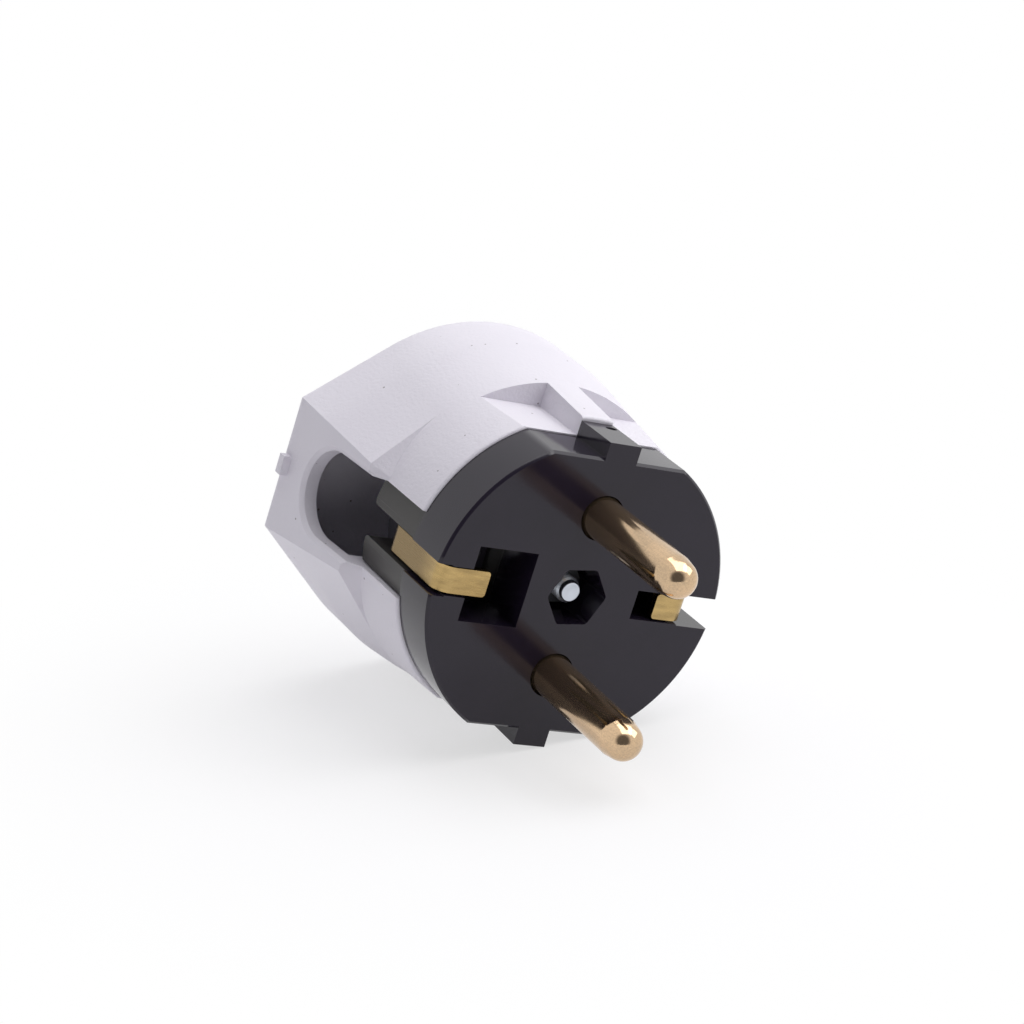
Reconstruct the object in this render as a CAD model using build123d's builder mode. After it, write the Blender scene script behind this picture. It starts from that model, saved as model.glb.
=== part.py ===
from math import acos, atan2, cos, degrees, hypot, pi, sin, sqrt, tan
import os

from build123d import *

# Rewirable earthed plug with a side cord outlet, in millimetres.
# Every piece is modelled in the plug's own axes: the pin face is at Z = 0, the pins stand
# on the Y axis and point along +Z, and the cord leaves towards -X. Depths are measured
# from the pin face towards the back. At the end the plug is laid on its side.

# Base moulding: face, rim and guide tongues
FACE_R = 18.4
FLAT_CUT = 2.1
RIM_T = 6.9
RIM_EDGE = 0.3
TONGUE_W = 4.1
TONGUE_CUT = 0.2
DENT_X = 1.1
DENT_DEPTH = 5.5
DENT_W = 1.4
DENT_SINK = 0.3
FLOOR_T = 3.5
SPIGOT_WALL = 1.6
FIT = 0.15

# Live pins
PIN_SPACING = 19.0
PIN_D = 4.8
PIN_OUT = 19.0
PIN_SHANK_OUT = 15.7
PIN_NOSE_SLIM = 0.2
PIN_ROOT_STEP = 0.2
PIN_PLAY = 0.05
PIN_ROOT_DEPTH = 0.2
PIN_SHANK_START = 0.1
PIN_BOSS_D = 10.6
PIN_FLANGE_D = 7.5
PIN_FLANGE_T = 2.0
PIN_BLOCK = 5.2
PIN_BLOCK_L = 5.0
BLOCK_EDGE = 0.4

# Earth bracket, one bent brass strip
STRIP_W = 3.0
STRIP_T = 1.0
STRIP_BEND_R = 0.8
LEFT_STRIP_IN = 0.9
RIGHT_STRIP_IN = 3.4
STRIP_SINK = 0.3
STRIP_CORNER = 0.4
LEFT_HOOK_L = 6.1
RIGHT_HOOK_L = 4.45
BRIDGE_W = 8.0
BRIDGE_IN = 5.2

# Strip channels, towers and openings in the face
CHANNEL_W = 3.7
FACE_SLOT_W = 3.45
RIGHT_SLOT_L = 4.8
LEFT_LEDGE_IN = 4.5
RIGHT_LEDGE_IN = 6.0
TOWER_T = 4.2
TOWER_PLAY = 0.2
TOWER_DEPTH = 17.7
TOWER_CORNER_R = 0.8
POCKET_L = 7.4
POCKET_W = 8.8
POCKET_WALL = 1.2
EARTH_HOLE_IN = 8.4
EARTH_HOLE_D = 5.2

# Cover screw and its nut in the middle of the face
NUT_AF = 5.5
NUT_T = 2.4
NUT_DEPTH = 5.2
NUT_TURN = 6.0
HEX_PLAY = 0.5
HEX_CORNER_R = 0.6
HEX_WALL = 1.6
COVER_SCREW_D = 3.0
COVER_SCREW_L = 30.0
COVER_TIP_DEPTH = 1.5
COVER_TIP_D = 2.2
COVER_HEAD_D = 5.6
COVER_HEAD_T = 2.0
SPRING_WASHER_T = 0.8
SPRING_WASHER_CUT = 0.8
SCREW_PLAY = 0.4
THREAD_PLAY = 0.1

# Retainer plate that holds the pins and carries the bracket
PLATE_DEPTH = 10.5
PLATE_T = 2.0
PLATE_PLAY = 0.4
PLATE_SCREW_IN = 8.8
PLATE_SCREW_Y = 8.2
PLATE_BOSS_D = 5.6

# Terminal screws and clamp washers
TERMINAL_D = 3.5
TERMINAL_HEAD_D = 6.2
TERMINAL_HEAD_T = 2.4
PIN_SCREW_L = 5.0
EARTH_SCREW_L = 4.0
EARTH_SCREW_GAP = 0.5
EARTH_NUT = 6.0
WIRE_WASHER = 7.0
WIRE_WASHER_T = 1.0
DRIVE_SLOT_W = 0.9
DRIVE_SLOT_DEPTH = 1.0

# Cord clamp and the small self-tapping screws
CLAMP_IN = 7.4
CLAMP_Y = 7.5
CLAMP_POST_D = 6.0
CLAMP_POST_L = 4.0
CLAMP_BAR_W = 4.6
CLAMP_BAR_L = 19.0
CLAMP_BAR_T = 2.2
CLAMP_ARCH_R = 3.0
SMALL_SCREW_D = 2.9
SMALL_SCREW_BITE = 5.0
SMALL_HEAD_D = 5.2
SMALL_HEAD_T = 1.8

# Hood
HOOD_STEP = 0.35
HOOD_FLARE = 2.45
HOOD_SHIFT = 0.6
HOOD_DEPTH = 34.5
WALL = 2.0
SHOULDER_DEPTH = 17.1
WAIST_DEPTH = 21.5
BULGE_DEPTH = 26.0
SHOULDER_SLIM = 1.25
WAIST_SLIM = 0.6
BULGE_SLIM = 0.1
SHOULDER_RUN = 1.4
SHOULDER_RISE = 2.05
SHOULDER_SHARE = 0.9
NOSE_FRONT_IN = 0.6
NOSE_BACK_OUT = 1.45
NOSE_FRONT_HALF = 6.55
NOSE_BACK_HALF = 8.15
OUTLET_W = 10.4
OUTLET_CENTRE = 23.4
OUTLET_BEVEL = 0.45
GUIDE_DEPTH = 16.0
BACK_EDGE_R = 1.2
FRONT_EDGE_R = 0.4
COLUMN_D = 8.0
SCREW_WELL_PLAY = 0.7
SCREW_WELL_WALL = 1.6
GATE_W = 2.3
GATE_OUT = 0.7
GATE_T = 1.2

# Places, depths and radii that follow from the sizes above
FLAT_Y = FACE_R - FLAT_CUT
TONGUE_Y = FACE_R - TONGUE_CUT
LEFT_STRIP_X = FACE_R - LEFT_STRIP_IN
RIGHT_STRIP_X = FACE_R - RIGHT_STRIP_IN
LEFT_FLOOR_X = LEFT_STRIP_X - STRIP_T
RIGHT_FLOOR_X = RIGHT_STRIP_X - STRIP_T
LEFT_HOOK_X = LEFT_STRIP_X - LEFT_HOOK_L
RIGHT_HOOK_X = RIGHT_STRIP_X - RIGHT_HOOK_L
BRIDGE_X = FACE_R - BRIDGE_IN
LEFT_LEDGE_X = FACE_R - LEFT_LEDGE_IN
RIGHT_LEDGE_X = FACE_R - RIGHT_LEDGE_IN
TOWER_X = FACE_R - TOWER_T
TOWER_W = OUTLET_W - 2 * TOWER_PLAY
POCKET_X = LEFT_LEDGE_X - POCKET_L
RIGHT_SLOT_X = RIGHT_LEDGE_X - RIGHT_SLOT_L
EARTH_HOLE_X = FACE_R - EARTH_HOLE_IN
EARTH_SCREW_X = (COLUMN_D + WIRE_WASHER) / 2 + EARTH_SCREW_GAP
PLATE_SCREW_X = FACE_R - PLATE_SCREW_IN
CLAMP_X = FACE_R - CLAMP_IN
GUIDE_Y = FLAT_Y + FIT
BODY_DEPTHS = (SHOULDER_DEPTH, WAIST_DEPTH, BULGE_DEPTH, HOOD_DEPTH)
ROOM_DEPTHS = (SHOULDER_DEPTH + WALL, WAIST_DEPTH, BULGE_DEPTH, HOOD_DEPTH - WALL)
HOOD_FRONT_R = FACE_R + HOOD_STEP
HOOD_BACK_R = FACE_R + HOOD_FLARE
NOSE_FRONT_X = HOOD_BACK_R - NOSE_FRONT_IN
NOSE_BACK_X = HOOD_BACK_R + NOSE_BACK_OUT
LEDGE_DEPTH = STRIP_SINK + STRIP_T
PLATE_BACK = PLATE_DEPTH + PLATE_T
BRIDGE_BACK = PLATE_BACK + STRIP_T
BLOCK_BACK = PLATE_DEPTH + PIN_BLOCK_L
CLAMP_SEAT = PLATE_BACK + CLAMP_POST_L
HEX_FLOOR = NUT_DEPTH + NUT_T
COVER_SEAT = COVER_TIP_DEPTH + COVER_SCREW_L
WELL_FLOOR = COVER_SEAT - SPRING_WASHER_T
SPIGOT_R = HOOD_FRONT_R - WALL - FIT
SPIGOT_Y = GUIDE_Y - WALL - FIT
SCREW_HOLE_D = COVER_SCREW_D + SCREW_PLAY
SCREW_WELL_D = COVER_HEAD_D + 2 * SCREW_WELL_PLAY
HEX_AF = NUT_AF + 2 * HEX_PLAY
PIN_R = PIN_D / 2
PIN_NOSE_R = PIN_R - PIN_NOSE_SLIM
PIN_ROOT_R = PIN_R + PIN_ROOT_STEP
PIN_Y = PIN_SPACING / 2


def at_depth(depth):
    """Plane across the plug at a depth behind the pin face."""
    return Plane.XY.offset(-depth)


def between(depth, start, end, front_value, back_value):
    """Value that changes evenly from front_value at the start depth to back_value at the end."""
    return front_value + (depth - start) / (end - start) * (back_value - front_value)


def body_radius(depth):
    """Radius of the hood's round body, which swells behind the shoulder and then stays even."""
    rings = list(zip(BODY_DEPTHS, (SHOULDER_SLIM, WAIST_SLIM, BULGE_SLIM, 0.0)))
    for (start, front_slim), (end, back_slim) in zip(rings, rings[1:]):
        if depth <= end:
            return HOOD_BACK_R - between(depth, start, end, front_slim, back_slim)
    return HOOD_BACK_R


def nose_side(depth, inset=0.0):
    """Ends of the nose's slanted side: its corner, and where it touches the round body."""
    end_x = between(depth, SHOULDER_DEPTH, HOOD_DEPTH, NOSE_FRONT_X, NOSE_BACK_X) + HOOD_SHIFT
    half = between(depth, SHOULDER_DEPTH, HOOD_DEPTH, NOSE_FRONT_HALF, NOSE_BACK_HALF)
    radius = body_radius(depth)
    touch_angle = atan2(half, -end_x) - acos(radius / hypot(half, end_x))
    corner = (HOOD_SHIFT + inset - end_x, half - inset * tan((pi - touch_angle) / 2))
    touch_x = HOOD_SHIFT + (radius - inset) * cos(touch_angle)
    touch_y = (radius - inset) * sin(touch_angle)
    return corner, (touch_x, touch_y)


def nose_outline(depth, inset=0.0):
    """Draw the hood's outline with its flat-ended nose, moved inwards by inset."""
    (corner_x, corner_y), (touch_x, touch_y) = nose_side(depth, inset)
    far_x = HOOD_SHIFT + body_radius(depth) - inset
    with BuildLine() as outline:
        Line((corner_x, -corner_y), (corner_x, corner_y))
        Line((corner_x, corner_y), (touch_x, touch_y))
        ThreePointArc((touch_x, touch_y), (far_x, 0), (touch_x, -touch_y))
        Line((touch_x, -touch_y), (corner_x, -corner_y))
    make_face(outline.edges())


def shoulder_outline(inset=0.0):
    """Draw the nose alone at the shoulder, closed by a straight line inside the body."""
    (corner_x, corner_y), (touch_x, touch_y) = nose_side(SHOULDER_DEPTH, inset)
    root_x = corner_x + SHOULDER_SHARE * (touch_x - corner_x)
    root_y = corner_y + SHOULDER_SHARE * (touch_y - corner_y)
    with BuildLine() as outline:
        Polyline(
            (root_x, -root_y), (corner_x, -corner_y), (corner_x, corner_y), (root_x, root_y),
            close=True,
        )
    make_face(outline.edges())


def outlet_outline(grow=0.0):
    """Draw the cord outlet, a slot that is open to the front, with Y towards the back."""
    Circle(OUTLET_W / 2 + grow)
    Rectangle(OUTLET_W + 2 * grow, OUTLET_CENTRE, align=(Align.CENTER, Align.MAX))


# Hood: one white moulding that carries the outlet and the cover screw
with BuildPart() as hood:
    # round barrel around the base
    with BuildSketch(at_depth(RIM_T)):
        Circle(HOOD_FRONT_R)
    with BuildSketch(at_depth(SHOULDER_DEPTH)):
        with Locations((HOOD_SHIFT, 0)):
            Circle(body_radius(SHOULDER_DEPTH))
    loft()
    fillet(hood.edges().sort_by(Axis.Z)[-1], FRONT_EDGE_R)
    # sloping shoulder that leads from the barrel to the nose
    with BuildSketch(at_depth(SHOULDER_DEPTH)):
        shoulder_outline()
    with BuildSketch(at_depth(SHOULDER_DEPTH - SHOULDER_RUN)):
        shoulder_outline(SHOULDER_RISE)
    loft(ruled=True)
    # body and nose behind it, which widen towards the back
    for front, back in zip(BODY_DEPTHS, BODY_DEPTHS[1:]):
        with BuildSketch(at_depth(front)):
            nose_outline(front)
        with BuildSketch(at_depth(back)):
            nose_outline(back)
        loft(ruled=True)
    fillet(hood.faces().sort_by(Axis.Z)[0].edges(), BACK_EDGE_R)
    # guide recesses beside the ribs at the top and the bottom
    with BuildSketch(at_depth(RIM_T)):
        with Locations((0, GUIDE_Y + FACE_R / 2), (0, -GUIDE_Y - FACE_R / 2)):
            Rectangle(2 * FACE_R, FACE_R)
        Rectangle(TONGUE_W, 3 * FACE_R, mode=Mode.SUBTRACT)
    extrude(amount=-(GUIDE_DEPTH - RIM_T), mode=Mode.SUBTRACT)
    # room for the base, then for the terminals and the cord
    with BuildSketch(at_depth(RIM_T)):
        Circle(HOOD_FRONT_R - WALL)
        Rectangle(2 * FACE_R, 2 * (GUIDE_Y - WALL), mode=Mode.INTERSECT)
    extrude(amount=-(GUIDE_DEPTH + WALL - RIM_T), mode=Mode.SUBTRACT)
    with BuildSketch(at_depth(GUIDE_DEPTH + WALL)):
        Circle(HOOD_FRONT_R - WALL)
    extrude(amount=-(SHOULDER_DEPTH - GUIDE_DEPTH + WALL), mode=Mode.SUBTRACT)
    for front, back in zip(ROOM_DEPTHS, ROOM_DEPTHS[1:]):
        with BuildSketch(at_depth(front)):
            nose_outline(front, WALL)
        with BuildSketch(at_depth(back)):
            nose_outline(back, WALL)
        loft(ruled=True, mode=Mode.SUBTRACT)
    # column that presses on the bracket, with a well for the screw head
    with BuildSketch(at_depth(BRIDGE_BACK)):
        Circle(COLUMN_D / 2)
    extrude(amount=-(HOOD_DEPTH - WALL - BRIDGE_BACK))
    with BuildSketch(at_depth(WELL_FLOOR - SCREW_WELL_WALL)):
        Circle(SCREW_WELL_D / 2 + SCREW_WELL_WALL)
    extrude(amount=-(HOOD_DEPTH - WALL - WELL_FLOOR + SCREW_WELL_WALL))
    with BuildSketch(at_depth(HOOD_DEPTH)):
        Circle(SCREW_WELL_D / 2)
    extrude(amount=HOOD_DEPTH - WELL_FLOOR, mode=Mode.SUBTRACT)
    with BuildSketch(at_depth(HOOD_DEPTH)):
        Circle(SCREW_HOLE_D / 2)
    extrude(amount=HOOD_DEPTH - BRIDGE_BACK, mode=Mode.SUBTRACT)
    # left: the cord outlet, a slot from the front edge to a round end
    with BuildSketch(Plane((-TOWER_X, 0, -OUTLET_CENTRE), (0, 1, 0), (-1, 0, 0))):
        outlet_outline()
    extrude(amount=FACE_R, mode=Mode.SUBTRACT)
    # bevel round the outlet where it breaks through the slanted end of the nose
    lean = (NOSE_BACK_X - NOSE_FRONT_X) / (HOOD_DEPTH - SHOULDER_DEPTH)
    outlet_x = between(OUTLET_CENTRE, SHOULDER_DEPTH, HOOD_DEPTH, NOSE_FRONT_X, NOSE_BACK_X)
    nose_end = Plane((-outlet_x, 0, -OUTLET_CENTRE), (0, 1, 0), (-1, 0, lean))
    with BuildSketch(nose_end.offset(OUTLET_BEVEL)):
        outlet_outline(2 * OUTLET_BEVEL)
    with BuildSketch(nose_end.offset(-2 * OUTLET_BEVEL)):
        outlet_outline(-OUTLET_BEVEL)
    loft(mode=Mode.SUBTRACT)
    # right: a slot that the base's second tower fills
    with BuildSketch(Plane.YZ.offset(TOWER_X)):
        with Locations((0, -RIM_T)):
            Rectangle(OUTLET_W, TOWER_DEPTH + FIT - RIM_T, align=(Align.CENTER, Align.MAX))
    extrude(amount=FACE_R, mode=Mode.SUBTRACT)
    # stub left by the moulding gate
    with BuildSketch(at_depth(HOOD_DEPTH - BACK_EDGE_R)):
        with Locations((-NOSE_BACK_X - GATE_OUT, 0)):
            Rectangle(WALL, GATE_W, align=(Align.MIN, Align.CENTER))
    extrude(amount=GATE_T)
hood.part.label = "hood"


# Base: one black moulding with the pin face, the strip channels and the screw bosses
with BuildPart() as base:
    with BuildSketch():
        Circle(FACE_R)
        Rectangle(2 * FACE_R, 2 * FLAT_Y, mode=Mode.INTERSECT)
    extrude(amount=-RIM_T)
    chamfer(base.faces().sort_by(Axis.Z)[-1].edges(), RIM_EDGE)
    with BuildSketch():
        Rectangle(TONGUE_W, 2 * TONGUE_Y)
    extrude(amount=-RIM_T)
    # small dent in the top of the upper tongue
    with BuildSketch(Plane.XZ.offset(-TONGUE_Y)):
        with Locations((DENT_X, -DENT_DEPTH)):
            Ellipse(DENT_W / 2, DENT_W / 3)
    extrude(amount=DENT_SINK, mode=Mode.SUBTRACT)
    # spigot inside the hood, hollow behind the floor
    with BuildSketch(at_depth(RIM_T)):
        Circle(SPIGOT_R)
        Rectangle(2 * SPIGOT_R, 2 * SPIGOT_Y, mode=Mode.INTERSECT)
    extrude(amount=-(PLATE_DEPTH - RIM_T))
    with BuildSketch(at_depth(FLOOR_T)):
        Circle(SPIGOT_R - SPIGOT_WALL)
        Rectangle(2 * SPIGOT_R, 2 * (SPIGOT_Y - SPIGOT_WALL), mode=Mode.INTERSECT)
    extrude(amount=-(PLATE_DEPTH - FLOOR_T), mode=Mode.SUBTRACT)
    # bosses for the pins, the cover screw, the plate screws and the clamp screws,
    # and the walls round the earth pin pocket and the right slot
    with BuildSketch(at_depth(FLOOR_T)):
        with Locations((0, PIN_Y), (0, -PIN_Y)):
            Circle(PIN_BOSS_D / 2)
        Circle(HEX_AF / 2 + HEX_WALL)
        with Locations((PLATE_SCREW_X, PLATE_SCREW_Y), (PLATE_SCREW_X, -PLATE_SCREW_Y)):
            Circle(PLATE_BOSS_D / 2)
        with Locations((-CLAMP_X, CLAMP_Y), (-CLAMP_X, -CLAMP_Y)):
            Circle(CLAMP_POST_D / 2)
        with Locations((-(POCKET_X + TOWER_X) / 2, 0)):
            Rectangle(TOWER_X - POCKET_X + 2 * POCKET_WALL, POCKET_W + 2 * POCKET_WALL)
        with Locations(((RIGHT_SLOT_X + TOWER_X) / 2, 0)):
            Rectangle(TOWER_X - RIGHT_SLOT_X + 2 * POCKET_WALL, FACE_SLOT_W + 2 * POCKET_WALL)
        Circle(SPIGOT_R, mode=Mode.INTERSECT)
        Rectangle(2 * SPIGOT_R, 2 * SPIGOT_Y, mode=Mode.INTERSECT)
    extrude(amount=-(PLATE_DEPTH - FLOOR_T))
    # towers that close the hood's side slots
    with BuildSketch():
        with Locations((-FACE_R, 0), (FACE_R, 0)):
            Rectangle(2 * (FACE_R - TOWER_X), TOWER_W)
        Circle(FACE_R - RIM_EDGE, mode=Mode.INTERSECT)
    extrude(amount=-TOWER_DEPTH)
    # channels for the strip: over the face, down the sides, and inwards past the plate
    with BuildSketch():
        with Locations((-LEFT_LEDGE_X, 0)):
            Rectangle(FACE_R, FACE_SLOT_W, align=(Align.MAX, Align.CENTER))
        with Locations((RIGHT_LEDGE_X, 0)):
            Rectangle(FACE_R, FACE_SLOT_W, align=(Align.MIN, Align.CENTER))
    extrude(amount=-LEDGE_DEPTH, mode=Mode.SUBTRACT)
    with BuildSketch():
        with Locations((-LEFT_FLOOR_X, 0)):
            Rectangle(FACE_R, CHANNEL_W, align=(Align.MAX, Align.CENTER))
        with Locations((RIGHT_FLOOR_X, 0)):
            Rectangle(FACE_R, CHANNEL_W, align=(Align.MIN, Align.CENTER))
    extrude(amount=-TOWER_DEPTH, mode=Mode.SUBTRACT)
    with BuildSketch(at_depth(PLATE_BACK)):
        Rectangle(2 * FACE_R, CHANNEL_W)
    extrude(amount=-(TOWER_DEPTH - PLATE_BACK), mode=Mode.SUBTRACT)
    # the strip turns round a softened corner at both ends of the left channel,
    # and at the front of the right one, which stands further in
    for turn_x, turn_depth in (
        (-LEFT_FLOOR_X, LEDGE_DEPTH), (-LEFT_FLOOR_X, PLATE_BACK), (RIGHT_FLOOR_X, LEDGE_DEPTH)
    ):
        strip_turn = base.edges().filter_by(Axis.Y).filter_by_position(
            Axis.Z, -turn_depth - FIT, -turn_depth + FIT
        ).filter_by_position(Axis.X, turn_x - FIT, turn_x + FIT)
        chamfer(strip_turn, STRIP_BEND_R)
    tower_ends = base.edges().filter_by(Axis.X).filter_by_position(
        Axis.Z, -TOWER_DEPTH - FIT, -TOWER_DEPTH + FIT
    ).filter_by_position(Axis.Y, -CHANNEL_W / 2 - FIT, CHANNEL_W / 2 + FIT)
    fillet(tower_ends, TOWER_CORNER_R)
    # openings through the face
    with BuildSketch():
        with Locations((-LEFT_LEDGE_X, 0)):
            Rectangle(POCKET_L, POCKET_W, align=(Align.MIN, Align.CENTER))
        with Locations((RIGHT_LEDGE_X, 0)):
            Rectangle(RIGHT_SLOT_L, FACE_SLOT_W, align=(Align.MAX, Align.CENTER))
        with Locations((0, PIN_Y), (0, -PIN_Y)):
            Circle(PIN_ROOT_R + PIN_PLAY)
        Circle(SCREW_HOLE_D / 2)
    extrude(amount=-PLATE_DEPTH, mode=Mode.SUBTRACT)
    with BuildSketch() as hex_pocket:
        RegularPolygon(HEX_AF / 2, 6, major_radius=False, rotation=NUT_TURN)
        fillet(hex_pocket.vertices(), HEX_CORNER_R)
    extrude(amount=-HEX_FLOOR, mode=Mode.SUBTRACT)
    # seats for the pin flanges and pilot holes for the small screws
    with BuildSketch(at_depth(PLATE_DEPTH)):
        with Locations((0, PIN_Y), (0, -PIN_Y)):
            Circle(PIN_FLANGE_D / 2 + FIT / 2)
    extrude(amount=PIN_FLANGE_T, mode=Mode.SUBTRACT)
    with BuildSketch(at_depth(PLATE_DEPTH)):
        with Locations((PLATE_SCREW_X, PLATE_SCREW_Y), (PLATE_SCREW_X, -PLATE_SCREW_Y)):
            Circle((SMALL_SCREW_D + THREAD_PLAY) / 2)
        with Locations((-CLAMP_X, CLAMP_Y), (-CLAMP_X, -CLAMP_Y)):
            Circle((SMALL_SCREW_D + THREAD_PLAY) / 2)
    extrude(amount=SMALL_SCREW_BITE + FIT, mode=Mode.SUBTRACT)
base.part.label = "base"


# Live pin: a nose that meets the plain shank at a faint edge, a root that fills its hole,
# a flange, and a square block tapped for its screw
with BuildPart() as pin:
    nose_out = PIN_OUT - PIN_NOSE_R
    touch_angle = acos(PIN_NOSE_R / hypot(PIN_R, nose_out - PIN_SHANK_OUT)) - atan2(
        nose_out - PIN_SHANK_OUT, PIN_R
    )
    nose_touch = (PIN_NOSE_R * cos(touch_angle), nose_out + PIN_NOSE_R * sin(touch_angle))
    flange_front = PLATE_DEPTH - PIN_FLANGE_T
    with BuildSketch(Plane.XZ):
        with BuildLine():
            RadiusArc(nose_touch, (0, PIN_OUT), -PIN_NOSE_R)
            Polyline(
                (0, PIN_OUT),
                (0, -PLATE_DEPTH),
                (PIN_FLANGE_D / 2, -PLATE_DEPTH),
                (PIN_FLANGE_D / 2, -flange_front),
                (PIN_ROOT_R, -flange_front),
                (PIN_ROOT_R, -PIN_ROOT_DEPTH),
                (PIN_R, PIN_SHANK_START),
                (PIN_R, PIN_SHANK_OUT),
                nose_touch,
            )
        make_face()
    revolve(axis=Axis.Z)
    with BuildSketch(at_depth(PLATE_DEPTH)):
        Rectangle(PIN_BLOCK, PIN_BLOCK)
    extrude(amount=-PIN_BLOCK_L)
    chamfer(pin.faces().sort_by(Axis.Z)[0].edges(), BLOCK_EDGE)
    with BuildSketch(at_depth(BLOCK_BACK)):
        Circle((TERMINAL_D + THREAD_PLAY) / 2)
    extrude(amount=PIN_SCREW_L, mode=Mode.SUBTRACT)

with BuildPart() as pin_upper:
    with Locations((0, PIN_Y)):
        add(pin.part)
pin_upper.part.label = "pin_upper"
with BuildPart() as pin_lower:
    with Locations((0, -PIN_Y)):
        add(pin.part)
pin_lower.part.label = "pin_lower"


# Retainer plate: black moulding that traps the pin flanges, holds the earth nut and
# carries the two posts of the cord clamp
with BuildPart() as retainer_plate:
    with BuildSketch(at_depth(PLATE_DEPTH)):
        Circle(SPIGOT_R - PLATE_PLAY)
        Rectangle(2 * SPIGOT_R, 2 * (SPIGOT_Y - PLATE_PLAY), mode=Mode.INTERSECT)
        with Locations((-FACE_R, 0), (FACE_R, 0)):
            Rectangle(
                2 * (FACE_R - TOWER_X + PLATE_PLAY), TOWER_W + 2 * PLATE_PLAY, mode=Mode.SUBTRACT
            )
        with Locations((RIGHT_FLOOR_X - STRIP_BEND_R - FIT, 0)):
            Rectangle(
                FACE_R, CHANNEL_W, align=(Align.MIN, Align.CENTER), mode=Mode.SUBTRACT
            )
        with Locations((0, PIN_Y), (0, -PIN_Y)):
            Rectangle(PIN_BLOCK + PLATE_PLAY, PIN_BLOCK + PLATE_PLAY, mode=Mode.SUBTRACT)
        with Locations((EARTH_SCREW_X, 0)):
            Rectangle(EARTH_NUT + FIT, EARTH_NUT + FIT, mode=Mode.SUBTRACT)
        with Locations((-EARTH_HOLE_X, 0)):
            Circle((EARTH_HOLE_D + PLATE_PLAY) / 2, mode=Mode.SUBTRACT)
        with Locations((PLATE_SCREW_X, PLATE_SCREW_Y), (PLATE_SCREW_X, -PLATE_SCREW_Y)):
            Circle((SMALL_SCREW_D + SCREW_PLAY) / 2, mode=Mode.SUBTRACT)
        Circle(SCREW_HOLE_D / 2, mode=Mode.SUBTRACT)
    extrude(amount=-PLATE_T)
    with BuildSketch(at_depth(PLATE_BACK)):
        with Locations((-CLAMP_X, CLAMP_Y), (-CLAMP_X, -CLAMP_Y)):
            Circle(CLAMP_POST_D / 2)
    extrude(amount=-CLAMP_POST_L)
    with BuildSketch(at_depth(PLATE_DEPTH)):
        with Locations((-CLAMP_X, CLAMP_Y), (-CLAMP_X, -CLAMP_Y)):
            Circle((SMALL_SCREW_D + SCREW_PLAY) / 2)
    extrude(amount=-(CLAMP_SEAT - PLATE_DEPTH), mode=Mode.SUBTRACT)
retainer_plate.part.label = "retainer_plate"


# Earth bracket: strip bent from one side contact through the plug to the other, with a
# wide bridge that has eyes for the earth pin, the cover screw and the earth terminal
with BuildPart() as earth_bracket:
    with BuildSketch(Plane.XZ):
        with BuildLine():
            FilletPolyline(
                (-LEFT_HOOK_X, -STRIP_SINK),
                (-LEFT_STRIP_X, -STRIP_SINK),
                (-LEFT_STRIP_X, -BRIDGE_BACK),
                (RIGHT_STRIP_X, -BRIDGE_BACK),
                (RIGHT_STRIP_X, -STRIP_SINK),
                (RIGHT_HOOK_X, -STRIP_SINK),
                radius=STRIP_BEND_R + STRIP_T,
            )
            offset(amount=STRIP_T, side=Side.LEFT)
        make_face()
    extrude(amount=STRIP_W / 2, both=True)
    hook_ends = earth_bracket.edges().filter_by(Axis.Z).filter_by_position(
        Axis.X, -LEFT_HOOK_X - FIT, RIGHT_HOOK_X + FIT
    )
    fillet(hook_ends, STRIP_CORNER)
    with BuildSketch(at_depth(PLATE_BACK)):
        RectangleRounded(2 * BRIDGE_X, BRIDGE_W, BRIDGE_W / 3)
    extrude(amount=-STRIP_T)
    with BuildSketch(at_depth(PLATE_BACK)):
        with Locations((-EARTH_HOLE_X, 0)):
            Circle(EARTH_HOLE_D / 2)
        with Locations((EARTH_SCREW_X, 0)):
            Circle((TERMINAL_D + SCREW_PLAY) / 2)
        Circle(SCREW_HOLE_D / 2)
    extrude(amount=-STRIP_T, mode=Mode.SUBTRACT)
earth_bracket.part.label = "earth_bracket"


def slotted_screw(x, y, seat, shank_d, length, head_d, head_t):
    """Screw with a cheese head behind its seat and a straight driver slot."""
    with BuildPart() as piece:
        with BuildSketch(at_depth(seat)):
            with Locations((x, y)):
                Circle(head_d / 2)
        extrude(amount=-head_t)
        chamfer(piece.edges().sort_by(Axis.Z)[0], head_t / 6)
        with BuildSketch(at_depth(seat + head_t)):
            with Locations((x, y)):
                Rectangle(head_d, DRIVE_SLOT_W, rotation=45)
        extrude(amount=DRIVE_SLOT_DEPTH, mode=Mode.SUBTRACT)
        with BuildSketch(at_depth(seat)):
            with Locations((x, y)):
                Circle(shank_d / 2)
        extrude(amount=length)
        chamfer(piece.edges().sort_by(Axis.Z)[-1], shank_d / 10)
    return piece


def wire_washer(x, y, seat):
    """Square clamp washer that presses the wire under a terminal screw."""
    with BuildPart() as piece:
        with BuildSketch(at_depth(seat)):
            with Locations((x, y)):
                Rectangle(WIRE_WASHER, WIRE_WASHER)
                Circle((TERMINAL_D + SCREW_PLAY) / 2, mode=Mode.SUBTRACT)
        extrude(amount=-WIRE_WASHER_T)
        fillet(piece.edges().filter_by(Axis.Z), WIRE_WASHER_T / 2)
    return piece


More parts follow.
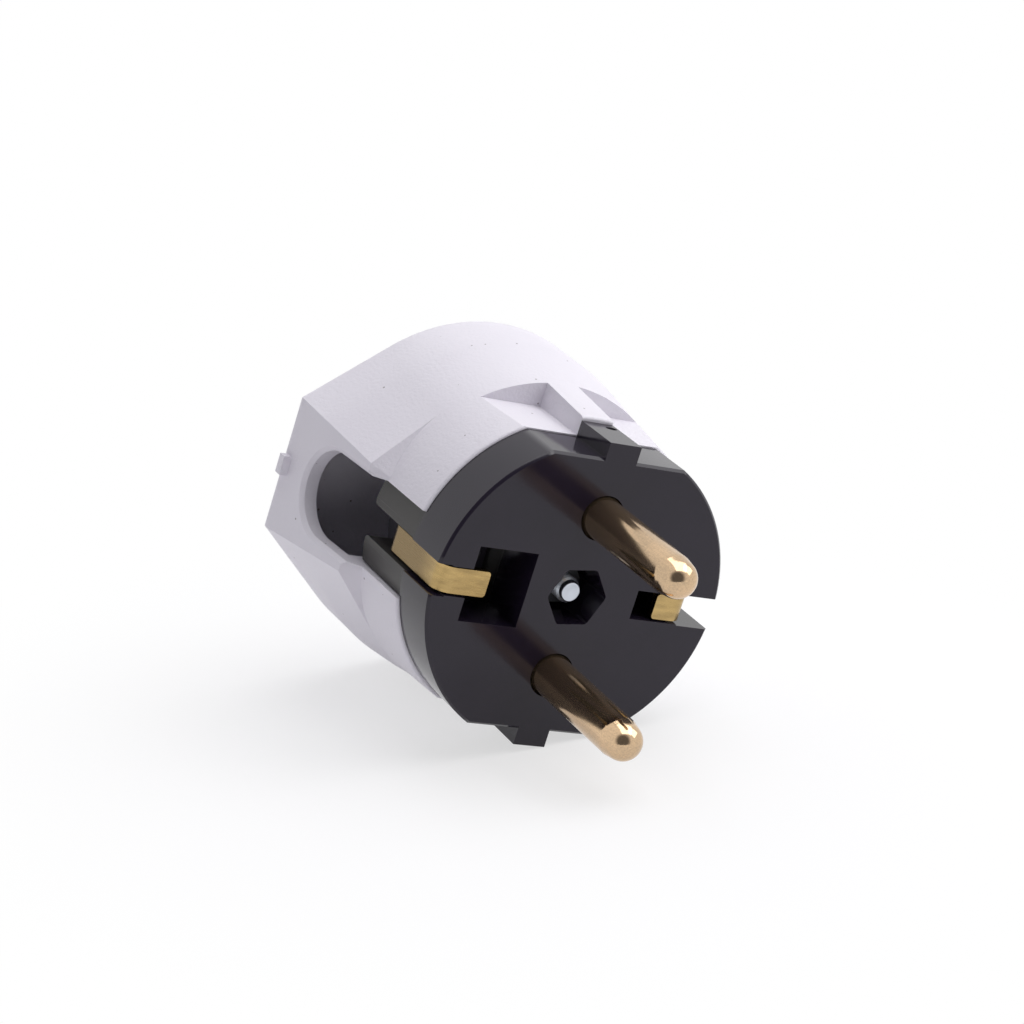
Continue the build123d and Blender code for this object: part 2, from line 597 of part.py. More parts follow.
# Terminals of the two pins: a clamp washer on each block and a screw into it
pin_washer_upper = wire_washer(0, PIN_Y, BLOCK_BACK)
pin_washer_upper.part.label = "pin_washer_upper"
pin_washer_lower = wire_washer(0, -PIN_Y, BLOCK_BACK)
pin_washer_lower.part.label = "pin_washer_lower"
pin_screw_seat = BLOCK_BACK + WIRE_WASHER_T
pin_screw_upper = slotted_screw(
    0, PIN_Y, pin_screw_seat, TERMINAL_D, PIN_SCREW_L, TERMINAL_HEAD_D, TERMINAL_HEAD_T
)
pin_screw_upper.part.label = "pin_screw_upper"
pin_screw_lower = slotted_screw(
    0, -PIN_Y, pin_screw_seat, TERMINAL_D, PIN_SCREW_L, TERMINAL_HEAD_D, TERMINAL_HEAD_T
)
pin_screw_lower.part.label = "pin_screw_lower"

# Earth terminal: washer and screw on the bridge, square nut held in the retainer plate
earth_washer = wire_washer(EARTH_SCREW_X, 0, BRIDGE_BACK)
earth_washer.part.label = "earth_washer"
earth_screw_seat = BRIDGE_BACK + WIRE_WASHER_T
earth_screw = slotted_screw(
    EARTH_SCREW_X, 0, earth_screw_seat, TERMINAL_D, EARTH_SCREW_L, TERMINAL_HEAD_D, TERMINAL_HEAD_T
)
earth_screw.part.label = "earth_screw"
with BuildPart() as earth_nut:
    with BuildSketch(at_depth(PLATE_DEPTH)):
        with Locations((EARTH_SCREW_X, 0)):
            Rectangle(EARTH_NUT, EARTH_NUT)
            Circle((TERMINAL_D + THREAD_PLAY) / 2, mode=Mode.SUBTRACT)
    extrude(amount=-PLATE_T)
earth_nut.part.label = "earth_nut"

# Screws that fix the retainer plate to the base
plate_screw_upper = slotted_screw(
    PLATE_SCREW_X, PLATE_SCREW_Y, PLATE_BACK, SMALL_SCREW_D,
    PLATE_T + SMALL_SCREW_BITE, SMALL_HEAD_D, SMALL_HEAD_T,
)
plate_screw_upper.part.label = "plate_screw_upper"
plate_screw_lower = slotted_screw(
    PLATE_SCREW_X, -PLATE_SCREW_Y, PLATE_BACK, SMALL_SCREW_D,
    PLATE_T + SMALL_SCREW_BITE, SMALL_HEAD_D, SMALL_HEAD_T,
)
plate_screw_lower.part.label = "plate_screw_lower"

# Cord clamp: arched bar across the two posts of the retainer plate, with a screw at each end
with BuildPart() as cord_clamp:
    with BuildSketch(Plane.YZ.offset(-CLAMP_X - CLAMP_BAR_W / 2)):
        with Locations((0, -CLAMP_SEAT)):
            Rectangle(CLAMP_BAR_L, CLAMP_BAR_T, align=(Align.CENTER, Align.MAX))
            Circle(CLAMP_ARCH_R + CLAMP_BAR_T)
            Circle(CLAMP_ARCH_R, mode=Mode.SUBTRACT)
            Rectangle(
                CLAMP_BAR_L, CLAMP_BAR_L, align=(Align.CENTER, Align.MIN), mode=Mode.SUBTRACT
            )
    extrude(amount=CLAMP_BAR_W)
    with BuildSketch(at_depth(CLAMP_SEAT)):
        with Locations((-CLAMP_X, CLAMP_Y), (-CLAMP_X, -CLAMP_Y)):
            Circle((SMALL_SCREW_D + SCREW_PLAY) / 2)
    extrude(amount=-CLAMP_BAR_T, mode=Mode.SUBTRACT)
cord_clamp.part.label = "cord_clamp"

clamp_screw_seat = CLAMP_SEAT + CLAMP_BAR_T
clamp_screw_l = clamp_screw_seat - PLATE_DEPTH + SMALL_SCREW_BITE
clamp_screw_upper = slotted_screw(
    -CLAMP_X, CLAMP_Y, clamp_screw_seat, SMALL_SCREW_D, clamp_screw_l, SMALL_HEAD_D, SMALL_HEAD_T
)
clamp_screw_upper.part.label = "clamp_screw_upper"
clamp_screw_lower = slotted_screw(
    -CLAMP_X, -CLAMP_Y, clamp_screw_seat, SMALL_SCREW_D, clamp_screw_l, SMALL_HEAD_D, SMALL_HEAD_T
)
clamp_screw_lower.part.label = "clamp_screw_lower"

# Cover screw from the well in the hood's back to the nut in the face, with a spring washer
with BuildPart() as cover_screw:
    with BuildSketch(at_depth(COVER_SEAT)):
        Circle(COVER_HEAD_D / 2)
    extrude(amount=-COVER_HEAD_T)
    chamfer(cover_screw.edges().sort_by(Axis.Z)[0], COVER_HEAD_T / 4)
    with BuildSketch(at_depth(COVER_SEAT + COVER_HEAD_T)):
        Rectangle(COVER_HEAD_D, DRIVE_SLOT_W, rotation=30)
    extrude(amount=DRIVE_SLOT_DEPTH, mode=Mode.SUBTRACT)
    with BuildSketch(at_depth(COVER_SEAT)):
        Circle(COVER_SCREW_D / 2)
    extrude(amount=COVER_SCREW_L)
    chamfer(cover_screw.edges().sort_by(Axis.Z)[-1], (COVER_SCREW_D - COVER_TIP_D) / 2)
cover_screw.part.label = "cover_screw"

with BuildPart() as spring_washer:
    with BuildSketch(at_depth(WELL_FLOOR)):
        Circle(COVER_HEAD_D / 2)
        Circle(SCREW_HOLE_D / 2, mode=Mode.SUBTRACT)
        with Locations((COVER_HEAD_D / 2, 0)):
            Rectangle(COVER_HEAD_D, SPRING_WASHER_CUT, mode=Mode.SUBTRACT)
    extrude(amount=-SPRING_WASHER_T)
spring_washer.part.label = "spring_washer"

with BuildPart() as cover_nut:
    with BuildSketch(at_depth(HEX_FLOOR)):
        RegularPolygon(NUT_AF / 2, 6, major_radius=False, rotation=NUT_TURN)
        Circle((COVER_SCREW_D + THREAD_PLAY) / 2, mode=Mode.SUBTRACT)
    extrude(amount=NUT_T)
cover_nut.part.label = "cover_nut"

pieces = [
    hood, base, pin_upper, pin_lower, retainer_plate, earth_bracket,
    pin_washer_upper, pin_washer_lower, pin_screw_upper, pin_screw_lower,
    earth_washer, earth_screw, earth_nut, plate_screw_upper, plate_screw_lower,
    cord_clamp, clamp_screw_upper, clamp_screw_lower, cover_screw, spring_washer, cover_nut,
]

# Lay the plug on its side. It rests on the corners of the lower tongue and the lower flat,
# which sets its roll, and on the back edge of the wider hood, which tips the pins down.
flat_half = sqrt(FACE_R**2 - FLAT_Y**2)
corner_gap = hypot(flat_half - TONGUE_W / 2, TONGUE_Y - FLAT_Y)
roll = degrees(atan2(TONGUE_Y - FLAT_Y, flat_half - TONGUE_W / 2))
front_drop = (flat_half * TONGUE_Y - TONGUE_W / 2 * FLAT_Y) / corner_gap
tip = max(
    degrees(atan2(body_radius(depth) + HOOD_SHIFT * sin(roll * pi / 180) - front_drop, depth))
    for depth in (SHOULDER_DEPTH, WAIST_DEPTH, BULGE_DEPTH, HOOD_DEPTH - BACK_EDGE_R)
)
laid = Rotation(tip, 0, 0) * Rotation(0, roll, 0) * Rotation(90, 0, 0)
box = Compound(children=[laid * piece.part for piece in pieces]).bounding_box()
foot = Location((-(box.min.X + box.max.X) / 2, -(box.min.Y + box.max.Y) / 2, -box.min.Z))

os.makedirs("parts", exist_ok=True)
for piece in pieces:
    piece.part.locate(foot * laid)
    export_step(piece.part, f"parts/{piece.part.label}.step")
print("roll", round(roll, 2), "tip", round(tip, 2), "foot", foot.position)
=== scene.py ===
import bpy
import bmesh
from math import pi, radians
from mathutils import Matrix, Vector


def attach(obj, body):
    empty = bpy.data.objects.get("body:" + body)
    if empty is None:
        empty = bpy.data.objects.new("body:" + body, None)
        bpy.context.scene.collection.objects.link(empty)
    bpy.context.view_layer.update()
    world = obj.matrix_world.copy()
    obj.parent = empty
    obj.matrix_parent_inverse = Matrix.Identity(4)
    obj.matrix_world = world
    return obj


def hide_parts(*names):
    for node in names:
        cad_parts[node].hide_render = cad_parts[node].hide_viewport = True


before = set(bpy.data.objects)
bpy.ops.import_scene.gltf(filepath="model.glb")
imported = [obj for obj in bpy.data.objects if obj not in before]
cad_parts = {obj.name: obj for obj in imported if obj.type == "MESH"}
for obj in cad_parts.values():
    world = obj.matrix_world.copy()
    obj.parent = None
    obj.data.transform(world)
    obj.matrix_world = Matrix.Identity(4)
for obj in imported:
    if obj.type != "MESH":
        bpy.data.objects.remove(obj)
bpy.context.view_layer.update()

# How the plug lies. It rests on its side, turned a little about the line of its own axis,
# and its wider hood tips it nose down. Its own axes start at the middle of the pin face,
# with Z along the pins.
FACE_MIDDLE = Vector((1.052, -8.287, 17.933)) / 1000
PLUG_TIP = 6.31
PLUG_TURN = 16.33
PLUG_ON_SIDE = 90

plug_lie = Matrix.Translation(FACE_MIDDLE) @ (
    Matrix.Rotation(radians(PLUG_TIP), 4, "X")
    @ Matrix.Rotation(radians(PLUG_TURN), 4, "Y")
    @ Matrix.Rotation(radians(PLUG_ON_SIDE), 4, "X")
)

# How the plug is seen: from in front of the pin face, a little to the left and above, with
# a long lens.
CAMERA_PLACE = Vector((-0.146615, -0.292253, 0.130816))
CAMERA_TURN = (72.1727, 0.4245, -26.3393)
CAMERA_LENS = 107.95
CAMERA_SENSOR = 36
CAMERA_NEAR = 0.01


def put_in_scene(name, data):
    placed = bpy.data.objects.new(name, data)
    bpy.context.scene.collection.objects.link(placed)
    return placed


camera_data = bpy.data.cameras.new("front_left_view")
camera_data.sensor_width = CAMERA_SENSOR
camera_data.lens = CAMERA_LENS
camera_data.clip_start = CAMERA_NEAR
camera = put_in_scene("front_left_view", camera_data)
camera.location = CAMERA_PLACE
camera.rotation_euler = [radians(turn) for turn in CAMERA_TURN]
bpy.context.scene.camera = camera


# Base: one black moulding in a glossy thermoset, with the pin face, the rim, the guide
# tongues, the towers and the channels for the strip. Its polished face mirrors the pins
# softly, and behind the face it is left greyer and matt.
BASE_COLOUR = (0.0108, 0.0076, 0.0165, 1)
BASE_WORN = (0.0165, 0.0122, 0.0232, 1)
BASE_INSIDE = (0.034, 0.031, 0.030, 1)
BASE_POLISHED_TO = -0.0060
BASE_MATT_AT = -0.0080
BASE_CLOUD = 0.006
BASE_HAZE = 0.0011
BASE_ROUGHNESS = (0.08, 0.16)
BASE_INSIDE_ROUGHER = 0.28
BASE_RIPPLE = 0.0005
BASE_RIPPLE_DEPTH = 0.000003
BASE_IOR = 1.42
BASE_EDGE = 0.00009

# How a solid's facets are cleaned up for the base and the other shown pieces. Corners
# within WELD are one, facets that turn by less than FLAT_TURN degrees are one face, and
# edges that turn by more than EDGE_TURN degrees are rounded in EDGE_STEPS steps.
WELD = 0.000002
FLAT_TURN = 0.4
EDGE_TURN = 30
EDGE_STEPS = 2


class Value:
    """One number that changes over a surface, so that shader maths reads as arithmetic."""

    def __init__(self, tree, socket):
        self.tree = tree
        self.socket = socket

    def combine(self, operation, first, second):
        node = self.tree.nodes.new("ShaderNodeMath")
        node.operation = operation
        for slot, item in zip(node.inputs, (first, second)):
            if isinstance(item, Value):
                self.tree.links.new(item.socket, slot)
            else:
                slot.default_value = item
        return Value(self.tree, node.outputs[0])

    def __add__(self, other):
        return self.combine("ADD", self, other)

    def __radd__(self, other):
        return self.combine("ADD", other, self)

    def __sub__(self, other):
        return self.combine("SUBTRACT", self, other)

    def __rsub__(self, other):
        return self.combine("SUBTRACT", other, self)

    def __mul__(self, other):
        return self.combine("MULTIPLY", self, other)

    def __rmul__(self, other):
        return self.combine("MULTIPLY", other, self)

    def __gt__(self, other):
        return self.combine("GREATER_THAN", self, other)

    def __lt__(self, other):
        return self.combine("LESS_THAN", self, other)


def between(amount, ends):
    """From the first end to the second as the amount goes from 0 to 1."""
    low, high = ends
    return low + amount * (high - low)


class Nodes:
    """The nodes of one tree, and the values that are read from them."""

    def __init__(self, tree):
        self.tree = tree

    def feed(self, socket, item):
        """Link a value or another socket to a socket, or set a plain number or colour."""
        if isinstance(item, Value):
            item = item.socket
        if isinstance(item, bpy.types.NodeSocket):
            self.tree.links.new(item, socket)
        else:
            socket.default_value = item

    def node(self, kind, settings=(), sockets=()):
        """A new node, with its settings set first. A socket goes by its name or number."""
        made = self.tree.nodes.new("ShaderNode" + kind)
        for name, setting in dict(settings).items():
            setattr(made, name, setting)
        for socket, item in dict(sockets).items():
            self.feed(made.inputs[socket], item)
        return made

    def value(self, node, output=0):
        """What a node gives at an output, ready for arithmetic."""
        return Value(self.tree, node.outputs[output])

    def ramp(self, item, start, end, kind="SMOOTHSTEP"):
        """A rise from 0 at the start to 1 at the end, which may be the lower one."""
        ends = {"Value": item, "From Min": start, "From Max": end}
        return self.value(self.node("MapRange", {"interpolation_type": kind}, ends))


class Finish(Nodes):
    """The finish of a piece: one material, its shader, and the patterns that vary it."""

    def __init__(self, name):
        self.material = bpy.data.materials.new(name)
        self.material.use_nodes = True
        super().__init__(self.material.node_tree)
        self.shader = self.tree.nodes["Principled BSDF"]

    def place(self):
        """Position on the plug in its own axes, in metres."""
        lie = {
            "Vector": self.node("TexCoord").outputs["Object"],
            "Location": FACE_MIDDLE,
            "Rotation": plug_lie.to_euler(),
        }
        return self.node("Mapping", {"vector_type": "TEXTURE"}, lie).outputs["Vector"]

    def height(self, place):
        """How far a point stands out along the pins, in metres, from the pin face."""
        return self.value(self.node("SeparateXYZ", sockets={"Vector": place}), "Z")

    def noise(self, place, size, detail=2.0):
        """Noise from 0 to 1. Its features have that size in metres, or one size an axis."""
        sizes = size if isinstance(size, tuple) else (size,) * 3
        scaled = self.node("Mapping", sockets={"Vector": place, "Scale": [1 / s for s in sizes]})
        pattern = {"Vector": scaled.outputs["Vector"], "Scale": 1.0, "Detail": detail}
        return self.value(self.node("TexNoise", sockets=pattern))

    def blend(self, amount, first, second):
        """A colour from the first to the second, by the Mix node's colour sockets."""
        mixed = self.node("Mix", {"data_type": "RGBA"}, {0: amount, 6: first, 7: second})
        return mixed.outputs[2]

    def surface(self, **sockets):
        """Feed the shader's sockets, whose names have a low line here for each space."""
        for name, item in sockets.items():
            self.feed(self.shader.inputs[name.replace("_", " ")], item)

    def relief(self, height, depth):
        """Bump from a height between 0 and 1 that stands for that depth in metres."""
        bump = self.node("Bump", sockets={"Height": height, "Distance": depth})
        self.surface(Normal=bump.outputs["Normal"])


def dress(piece, material):
    """Give a piece that material and no other."""
    piece.data.materials.clear()
    piece.data.materials.append(material)


def formed(node, edge, turn=EDGE_TURN, weld=WELD):
    """A shown copy of a solid with its facets merged and its sharp edges rounded."""
    form = bmesh.new()
    form.from_mesh(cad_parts[node].data)
    bmesh.ops.remove_doubles(form, verts=form.verts, dist=weld)
    bmesh.ops.dissolve_limit(
        form, angle_limit=radians(FLAT_TURN), use_dissolve_boundaries=False,
        verts=form.verts, edges=form.edges, delimit={"NORMAL"},
    )
    mesh = bpy.data.meshes.new(node + "_form")
    form.to_mesh(mesh)
    form.free()
    mesh.shade_smooth()
    piece = put_in_scene(node + "_form", mesh)
    rounding = piece.modifiers.new("rounded edges", "BEVEL")
    rounding.width = edge
    rounding.segments = EDGE_STEPS
    rounding.limit_method = "ANGLE"
    rounding.angle_limit = radians(turn)
    rounding.use_clamp_overlap = True
    even = piece.modifiers.new("even shading", "WEIGHTED_NORMAL")
    even.keep_sharp = True
    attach(piece, "root")
    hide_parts(node)
    return piece


def base_finish():
    finish = Finish("black_moulding")
    place = finish.place()
    cloud = finish.noise(place, BASE_CLOUD)
    inside = finish.ramp(finish.height(place), BASE_POLISHED_TO, BASE_MATT_AT)
    outer_colour = finish.blend(cloud, BASE_COLOUR, BASE_WORN)
    haze = finish.noise(place, BASE_HAZE, detail=4.0)
    finish.surface(
        Base_Color=finish.blend(inside, outer_colour, BASE_INSIDE),
        Roughness=between(haze, BASE_ROUGHNESS) + inside * BASE_INSIDE_ROUGHER,
        IOR=BASE_IOR,
    )
    finish.relief(finish.noise(place, BASE_RIPPLE, detail=3.0), BASE_RIPPLE_DEPTH)
    return finish.material


base = formed("base", BASE_EDGE)
dress(base, base_finish())


# Pins: solid brass turned on a lathe, with a ball nose, polished by use, and with a few
# fine scratches along the shank. The shank is duller than the nose. Each pin is held in
# the base by its flange.
BRASS_COLOUR = (0.71, 0.50, 0.31, 1)
BRASS_DULL = (0.50, 0.37, 0.24, 1)
PIN_CLOUD = (0.0030, 0.0030, 0.0075)
PIN_SCRATCH = (0.00022, 0.00022, 0.0044)
PIN_PIT = 0.00020
PIN_PIT_DEPTH = 0.0000035
PATINA_CLOUD = 0.45
PATINA_SCRATCH = 0.20
PATINA_PIT = 0.35
PATINA_BRIGHT = 0.36
PATINA_DULL = 0.62
PIN_BRIGHT_FROM = 0.0165
PIN_DULL_TO = 0.0145
PIN_ROUGHNESS = 0.07
PIN_PATINA_ROUGHER = (0.09, 0.16)
PIN_PATINA_COVER = (0.02, 0.11)
PIN_EDGE = 0.00004
PIN_EDGE_TURN = 60
PIN_WELD = 0.00009


def pin_finish():
    finish = Finish("turned_brass")
    place = finish.place()
    cloud = finish.noise(place, PIN_CLOUD, detail=5.0)
    scratch = finish.noise(place, PIN_SCRATCH, detail=3.0)
    pits = finish.noise(place, PIN_PIT)
    patina = cloud * PATINA_CLOUD + scratch * PATINA_SCRATCH + pits * PATINA_PIT
    tone = finish.ramp(patina, PATINA_BRIGHT, PATINA_DULL, kind="LINEAR")
    shank = finish.ramp(finish.height(place), PIN_BRIGHT_FROM, PIN_DULL_TO)
    finish.surface(
        Base_Color=finish.blend(tone, BRASS_COLOUR, BRASS_DULL),
        Metallic=1 - shank * between(patina, PIN_PATINA_COVER),
        Roughness=PIN_ROUGHNESS + patina * between(shank, PIN_PATINA_ROUGHER),
    )
    finish.relief((pits + scratch) * 0.5, PIN_PIT_DEPTH)
    return finish.material


pin_material = pin_finish()
for name in ("pin_upper", "pin_lower"):
    pin = formed(name, PIN_EDGE, turn=PIN_EDGE_TURN, weld=PIN_WELD)
    dress(pin, pin_material)


# Earth bracket: one strip of rolled brass with sheared edges, bent round the plug. The
# socket's clips have rubbed it bright in patches at the front, and further in its colour
# is darkened to brown as painted shade.
STRIP_BROWN_AND_SHADE = (0.22, 0.155, 0.075, 1)
STRIP_RUBBED = (0.68, 0.48, 0.20, 1)
STRIP_FULL_SHADE_AT = -0.0060
STRIP_NO_SHADE_AT = 0.0002
STRIP_RUB = (0.0036, 0.0009, 0.0036)
STRIP_BRUSHING = (0.0020, 0.00016, 0.0020)
STRIP_BRUSHING_DEPTH = 0.000010
STRIP_ROUGHNESS = (0.20, 0.36)
STRIP_EDGE = 0.00010


def strip_finish():
    finish = Finish("rolled_brass")
    place = finish.place()
    # Painted shade: the rubbed brass fades to dark brown towards the back of the strip.
    front = finish.ramp(finish.height(place), STRIP_FULL_SHADE_AT, STRIP_NO_SHADE_AT)
    rubbed_and_unshaded = finish.noise(place, STRIP_RUB, detail=4.0) * front
    brushed = finish.noise(place, STRIP_BRUSHING, detail=3.0)
    finish.surface(
        Base_Color=finish.blend(rubbed_and_unshaded, STRIP_BROWN_AND_SHADE, STRIP_RUBBED),
        Metallic=1.0,
        Roughness=between(brushed, STRIP_ROUGHNESS),
    )
    finish.relief(brushed, STRIP_BRUSHING_DEPTH)
    return finish.material


strip = formed("earth_bracket", STRIP_EDGE)
dress(strip, strip_finish())


# Retainer plate and cord clamp: black mouldings like the base, but left matt from the
# mould, because nobody sees them once the hood is on. The plate holds the pins in the
# base, and the clamp will hold the cord.
PLATE_GRAIN = 0.0003
PLATE_GRAIN_DEPTH = 0.00001
PLATE_ROUGHNESS = (0.40, 0.55)


def plate_finish():
    finish = Finish("matt_black_moulding")
    grain = finish.noise(finish.place(), PLATE_GRAIN, detail=3.0)
    finish.surface(
        Base_Color=finish.blend(grain, BASE_COLOUR, BASE_WORN),
        Roughness=between(grain, PLATE_ROUGHNESS),
    )
    finish.relief(grain, PLATE_GRAIN_DEPTH)
    return finish.material


plate_material = plate_finish()
for name in ("retainer_plate", "cord_clamp"):
    dress(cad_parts[name], plate_material)


# Screws, nuts and washers: zinc-plated steel, slightly blue, with the faint haze of a
# plated surface. They join the base, the plate, the clamp and the hood. The cover nut, at
# the bottom of the six-sided pocket in the face, is given dark colours as painted shade.
ZINC_COLOUR = (0.66, 0.70, 0.77, 1)
ZINC_DULL = (0.50, 0.53, 0.58, 1)
# Painted shade: these dark colours for the cover nut stand for the shade deep in its pocket.
ZINC_PAINTED_SHADE = (0.13, 0.135, 0.145, 1)
ZINC_PAINTED_SHADE_DULL = (0.07, 0.07, 0.075, 1)
ZINC_HAZE = 0.0012
ZINC_ROUGHNESS = (0.28, 0.46)
ZINC_GRAIN = 0.00012
ZINC_GRAIN_DEPTH = 0.000004


def zinc_finish(name, bright, dull):
    finish = Finish(name)
    place = finish.place()
    haze = finish.noise(place, ZINC_HAZE, detail=4.0)
    finish.surface(
        Base_Color=finish.blend(haze, bright, dull),
        Metallic=1.0,
        Roughness=between(haze, ZINC_ROUGHNESS),
    )
    finish.relief(finish.noise(place, ZINC_GRAIN), ZINC_GRAIN_DEPTH)
    return finish.material


zinc_material = zinc_finish("zinc_plate", ZINC_COLOUR, ZINC_DULL)
for name in (
    "pin_screw_upper", "pin_screw_lower", "pin_washer_upper", "pin_washer_lower",
    "earth_screw", "earth_washer", "earth_nut", "plate_screw_upper", "plate_screw_lower",
    "clamp_screw_upper", "clamp_screw_lower", "spring_washer",
):
    dress(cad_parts[name], zinc_material)
dress(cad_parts["cover_nut"], zinc_finish("zinc_painted_shade", ZINC_PAINTED_SHADE, ZINC_PAINTED_SHADE_DULL))


# Hood: one white moulding in a hard, slightly lilac thermoset with a fine matt skin and a
# few dark specks in it. It is pressed in a two-part mould, so its outer edges are softly
# rounded. It slides over the base and is held by one screw from the back.
HOOD_COLOUR = (0.77, 0.745, 0.80, 1)
HOOD_SHADE = (0.71, 0.68, 0.745, 1)
HOOD_CLOUD = 0.012
HOOD_GRAIN = 0.00042
HOOD_GRAIN_DEPTH = 0.00005
HOOD_ROUGHNESS = (0.36, 0.56)
HOOD_IOR = 1.48
HOOD_EDGE = 0.00018

# The specks lie in patches, where noise of the patches' size passes a level. A speck's
# radius is a share of their spacing.
SPECK_COLOUR = (0.20, 0.17, 0.17, 1)
SPECK_COVER = 0.8
SPECK_SPACING = 0.0020
SPECK_RADIUS = 0.065
SPECK_PATCH = 0.0031
SPECK_PATCH_LEVEL = 0.54


def hood_finish():
    finish = Finish("white_moulding")
    place = finish.place()
    cloud = finish.noise(place, HOOD_CLOUD)
    colour = finish.blend(cloud, HOOD_COLOUR, HOOD_SHADE)
    spots = {"Vector": place, "Scale": 1 / SPECK_SPACING}
    near_spot = finish.value(finish.node("TexVoronoi", sockets=spots)) < SPECK_RADIUS
    in_patch = finish.noise(place, SPECK_PATCH, detail=0.0) > SPECK_PATCH_LEVEL
    speck = near_spot * in_patch * SPECK_COVER
    grain = finish.noise(place, HOOD_GRAIN, detail=3.0)
    finish.surface(
        Base_Color=finish.blend(speck, colour, SPECK_COLOUR),
        Roughness=between(grain, HOOD_ROUGHNESS),
        IOR=HOOD_IOR,
    )
    finish.relief(grain, HOOD_GRAIN_DEPTH)
    return finish.material


hood = formed("hood", HOOD_EDGE)
dress(hood, hood_finish())


# Cover screw: a long zinc-plated screw with a rolled thread. It holds the hood from behind,
# and the end of its thread shows through the nut in the six-sided pocket of the face.
THREAD_ROOT = 0.00122
THREAD_CREST = 0.00150
THREAD_PITCH = 0.0005
THREAD_END = -0.0020
THREAD_TURNS = 20
THREAD_STEPS = 24
RIDGE_FOOT = THREAD_ROOT * 0.96
RIDGE_HALF_WIDTH = THREAD_PITCH * 0.44
SCREW_EDGE = 0.00003

thread_start = THREAD_END - THREAD_TURNS * THREAD_PITCH


def whole(form):
    return form.verts[:] + form.edges[:] + form.faces[:]


def thin_to_root(form):
    """Cut rings round the shank where the thread starts, and thin it from the second on."""
    for depth in (thread_start, thread_start + THREAD_PITCH):
        bmesh.ops.bisect_plane(
            form, geom=whole(form), plane_co=plug_lie @ Vector((0, 0, depth)),
            plane_no=plug_lie.to_3x3() @ Vector((0, 0, 1)),
        )
    for corner in form.verts:
        spot = plug_lie.inverted() @ corner.co
        if spot.z > thread_start + THREAD_PITCH / 2:
            thinner = THREAD_ROOT / max(spot.xy.length, THREAD_ROOT)
            corner.co = plug_lie @ Vector((spot.x * thinner, spot.y * thinner, spot.z))


screw = formed("cover_screw", SCREW_EDGE)
screw_form = bmesh.new()
screw_form.from_mesh(screw.data)
thin_to_root(screw_form)
screw_form.to_mesh(screw.data)
screw_form.free()
dress(screw, zinc_material)

# The thread is one three-sided ridge that climbs round the shank, its foot a little inside.
thread_form = bmesh.new()
ridge = [
    thread_form.verts.new((across, 0, thread_start + along))
    for across, along in (
        (RIDGE_FOOT, -RIDGE_HALF_WIDTH), (THREAD_CREST, 0), (RIDGE_FOOT, RIDGE_HALF_WIDTH)
    )
]
thread_form.faces.new(ridge)
bmesh.ops.spin(
    thread_form, geom=whole(thread_form), cent=(0, 0, 0), axis=(0, 0, 1),
    dvec=(0, 0, THREAD_PITCH / THREAD_STEPS), angle=2 * pi * THREAD_TURNS,
    steps=THREAD_STEPS * THREAD_TURNS,
)
bmesh.ops.recalc_face_normals(thread_form, faces=thread_form.faces)
thread_form.transform(plug_lie)
thread_mesh = bpy.data.meshes.new("cover_screw_thread")
thread_form.to_mesh(thread_mesh)
thread_form.free()
thread = put_in_scene("cover_screw_thread", thread_mesh)
dress(thread, zinc_material)
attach(thread, "root")


# Floor: a plain white sheet that runs out of sight. Close to the plug it takes a part of
# the plug's shadow, and further out it shows pure white.
FLOOR_COLOUR = (0.92, 0.915, 0.93, 1)
FLOOR_ROUGHNESS = 0.9
FLOOR_RADIUS = 3.0
FLOOR_SIDES = 96
FLOOR_SHADE_TO = 0.025
FLOOR_WHITE_FROM = 0.08
FLOOR_WHITENESS = (0.62, 1)
WHITE = (1, 1, 1, 1)


def seen_by(nodes, *kinds):
    """1 for these kinds of ray, such as Camera or Glossy, and 0 for every other kind."""
    rays = nodes.node("LightPath")
    return sum(nodes.value(rays, f"Is {kind} Ray") for kind in kinds)


def show(nodes, output, amount, first, second):
    """Send the first shader to that output where the amount is 0, and the second at 1."""
    shaders = {0: amount, 1: first.outputs[0], 2: second.outputs[0]}
    mixed = nodes.node("MixShader", sockets=shaders)
    nodes.feed(nodes.tree.nodes[output].inputs["Surface"], mixed.outputs[0])


def floor_finish():
    finish = Finish("floor_white")
    finish.surface(Base_Color=FLOOR_COLOUR, Roughness=FLOOR_ROUGHNESS)
    here = finish.node("TexCoord").outputs["Object"]
    reach = finish.value(finish.node("VectorMath", {"operation": "LENGTH"}, {0: here}), "Value")
    far = finish.ramp(reach, FLOOR_SHADE_TO, FLOOR_WHITE_FROM)
    glow = finish.node("Emission", sockets={"Color": WHITE, "Strength": 1.0})
    shown = between(far, FLOOR_WHITENESS) * seen_by(finish, "Camera", "Glossy", "Transmission")
    show(finish, "Material Output", shown, finish.shader, glow)
    return finish.material


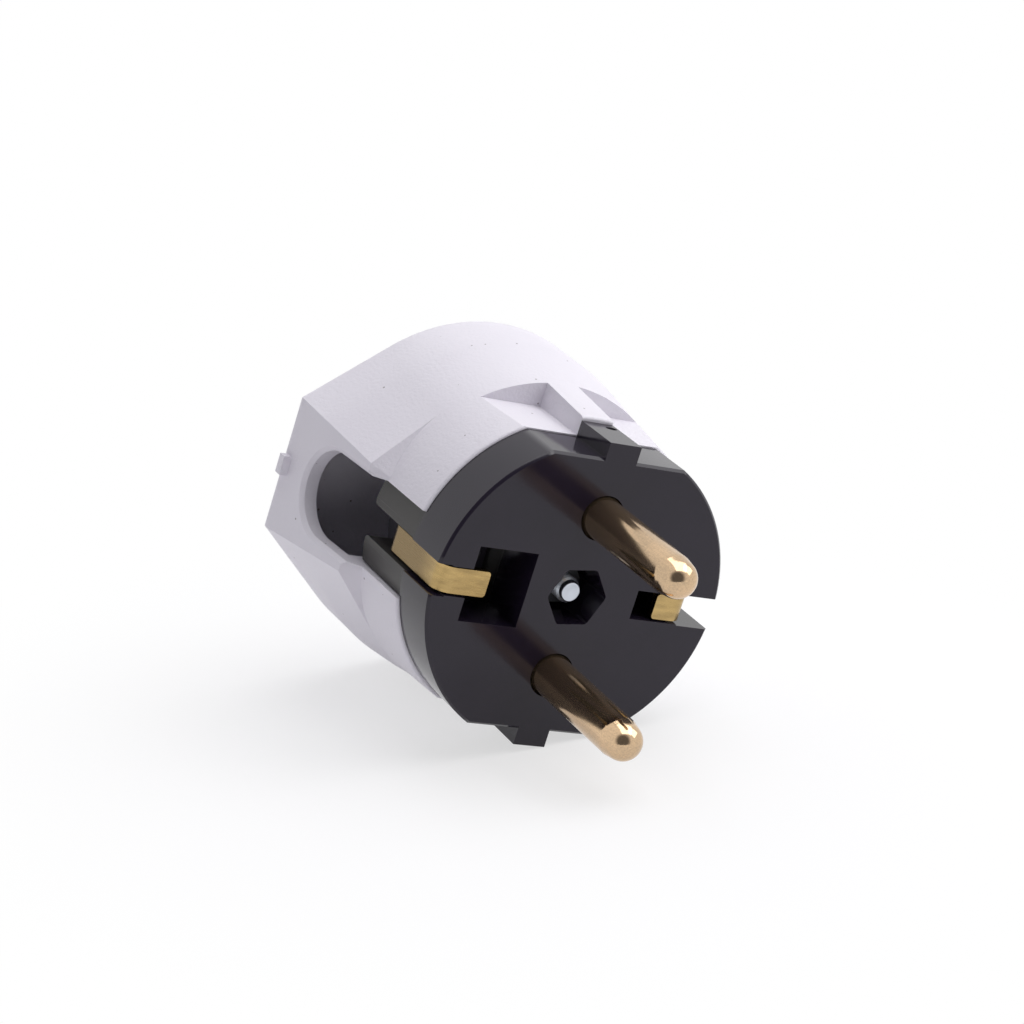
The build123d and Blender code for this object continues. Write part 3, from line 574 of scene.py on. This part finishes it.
sheet_mesh = bpy.data.meshes.new("floor")
sheet_form = bmesh.new()
bmesh.ops.create_circle(sheet_form, cap_ends=True, segments=FLOOR_SIDES, radius=FLOOR_RADIUS)
sheet_form.to_mesh(sheet_mesh)
sheet_form.free()
floor = put_in_scene("floor", sheet_mesh)
dress(floor, floor_finish())


# World: a white backdrop to the camera and in the reflections. As light on the plug it is
# a pale room, darker on the side where the camera stands.
ROOM_COLOUR = (0.95, 0.95, 1.0, 1)
ROOM_STRENGTH = (0.16, 0.48)
ROOM_DARK_FROM = 0.60
ROOM_DARK_TO = 0.90

world = bpy.data.worlds.new("studio")
world.use_nodes = True
bpy.context.scene.world = world
studio = Nodes(world.node_tree)
towards = studio.node("TexCoord").outputs["Generated"]
facing = studio.node(
    "VectorMath", {"operation": "DOT_PRODUCT"}, {0: towards, 1: CAMERA_PLACE.normalized()}
)
open_side = 1 - studio.ramp(studio.value(facing, "Value"), ROOM_DARK_FROM, ROOM_DARK_TO)
room = studio.tree.nodes["Background"]
studio.feed(room.inputs["Color"], ROOM_COLOUR)
studio.feed(room.inputs["Strength"], between(open_side, ROOM_STRENGTH))
backdrop = studio.node("Background", sockets={"Color": WHITE, "Strength": 1.0})
mirrored = seen_by(studio, "Glossy", "Transmission") * open_side
show(studio, "World Output", seen_by(studio, "Camera") + mirrored, room, backdrop)


# Lamps: two large soft ones on the right, both aimed at the middle of the plug. The larger
# hangs overhead, and the smaller stands lower and further out.
LAMPS_AIM = Vector((0, 0, 0.02))


def soft_lamp(name, place, size, power):
    lamp_data = bpy.data.lights.new(name, "AREA")
    lamp_data.shape = "RECTANGLE"
    lamp_data.size, lamp_data.size_y = size
    lamp_data.energy = power
    lamp = put_in_scene(name, lamp_data)
    lamp.location = place
    lamp.rotation_euler = (LAMPS_AIM - Vector(place)).to_track_quat("-Z", "Y").to_euler()


soft_lamp("overhead", place=(0.20, -0.05, 0.74), size=(0.9, 0.8), power=4.1)
soft_lamp("right", place=(0.48, -0.20, 0.46), size=(0.5, 0.5), power=1.5)

bpy.context.scene.view_settings.view_transform = "Standard"
